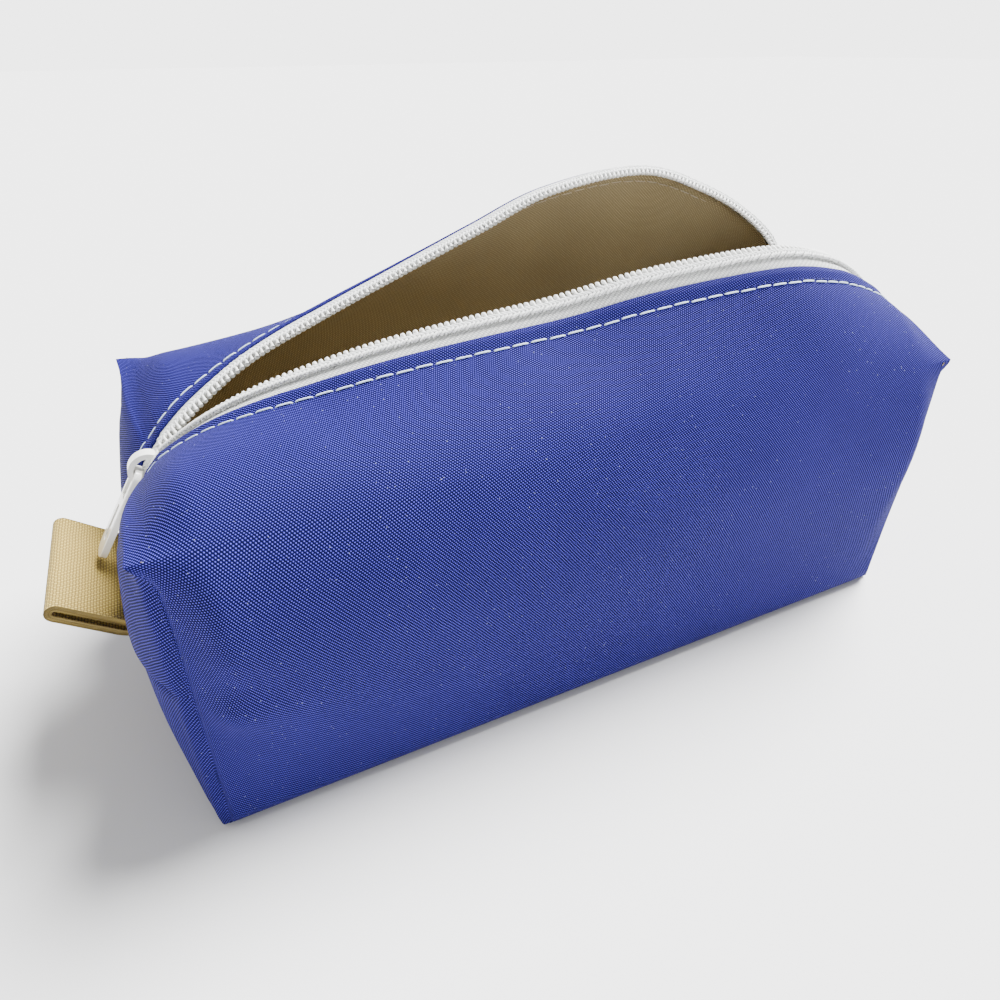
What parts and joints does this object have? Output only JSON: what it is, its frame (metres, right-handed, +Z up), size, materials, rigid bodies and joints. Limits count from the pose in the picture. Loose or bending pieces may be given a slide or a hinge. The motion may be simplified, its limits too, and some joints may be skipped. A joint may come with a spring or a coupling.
{
  "type": "pencil case",
  "caption": "Boxed fabric pencil case, lined, with a coil zip across the top standing open, a long slotted pull and a folded webbing tab at one end.",
  "frame": {"origin": "middle of the flat bottom", "axes": "+X along the zip, away from the tab; +Y towards the higher lip; +Z up"},
  "size_m": [0.2339, 0.1028, 0.1173],
  "materials": {
    "canvas": "matte royal blue canvas, fine rib weave",
    "lining": "plain-woven khaki cotton lining",
    "zip_tape": "knitted white polyester tape",
    "zip_coil": "white nylon coil",
    "thread": "white sewing thread",
    "enamel": "off-white enamel on cast zinc",
    "tab_webbing": "coarse beige basket weave"
  },
  "bodies": {
    "pouch": {"back_wall_canvas": "canvas", "back_wall_lining": "lining", "canvas_bottom": "canvas", "front_wall_canvas": "canvas", "front_wall_lining": "lining", "left_back_gusset_canvas": "canvas", "left_back_gusset_lining": "lining", "left_end_canvas": "canvas", "left_end_lining": "lining", "left_front_gusset_canvas": "canvas", "left_front_gusset_lining": "lining", "lining_bottom": "lining", "right_end_canvas": "canvas", "right_end_lining": "lining", "zip_tail_coil": "zip_coil", "zip_tail_tape": "zip_tape"},
    "front_lip": {"front_flap_canvas": "canvas", "front_flap_lining": "lining", "front_zip_tape": "zip_tape", "front_zip_coil": "zip_coil", "front_topstitch": "thread"},
    "back_lip": {"back_flap_canvas": "canvas", "back_flap_lining": "lining", "back_zip_tape": "zip_tape", "back_zip_coil": "zip_coil", "back_topstitch": "thread"},
    "slider": {"slider_body": "enamel", "slider_bail": "enamel"},
    "pull": {"zip_pull": "enamel"},
    "tab": {"end_tab": "tab_webbing"}
  },
  "joints": [
    {"name": "slider_travel", "type": "hinge", "parent": "pouch", "child": "slider", "pos_m": [0.0074, 0, 0.0091], "axis": [0, 1, 0], "range_deg": [0, 113], "deforming": ["front_flap_canvas", "front_flap_lining", "front_zip_tape", "front_zip_coil", "front_topstitch", "back_flap_canvas", "back_flap_lining", "back_zip_tape", "back_zip_coil", "back_topstitch"]},
    {"name": "front_lip_close", "type": "hinge", "parent": "pouch", "child": "front_lip", "pos_m": [-0.0925, 0, 0.071], "axis": [-0.9901, 0, 0.1405], "range_deg": [0, 30], "deforming": ["front_flap_canvas", "front_flap_lining", "front_zip_tape", "front_zip_coil", "front_topstitch"]},
    {"name": "back_lip_close", "type": "hinge", "parent": "pouch", "child": "back_lip", "pos_m": [-0.0925, 0, 0.071], "axis": [0.9901, 0, -0.1405], "range_deg": [0, 16], "deforming": ["back_flap_canvas", "back_flap_lining", "back_zip_tape", "back_zip_coil", "back_topstitch"]},
    {"name": "pull_swing", "type": "hinge", "parent": "slider", "child": "pull", "pos_m": [-0.10024, 0, 0.06719], "axis": [0, 1, 0], "range_deg": [0, 120]},
    {"name": "tab_flex", "type": "hinge", "parent": "pouch", "child": "tab", "pos_m": [-0.1076, -0.002, 0.038], "axis": [0, 1, 0], "range_deg": [-80, 8]}
  ],
  "couplings": [
    {"joint": "front_lip_close", "follows": "slider_travel", "ratio": 0.2654},
    {"joint": "back_lip_close", "follows": "slider_travel", "ratio": 0.1415}
  ]
}
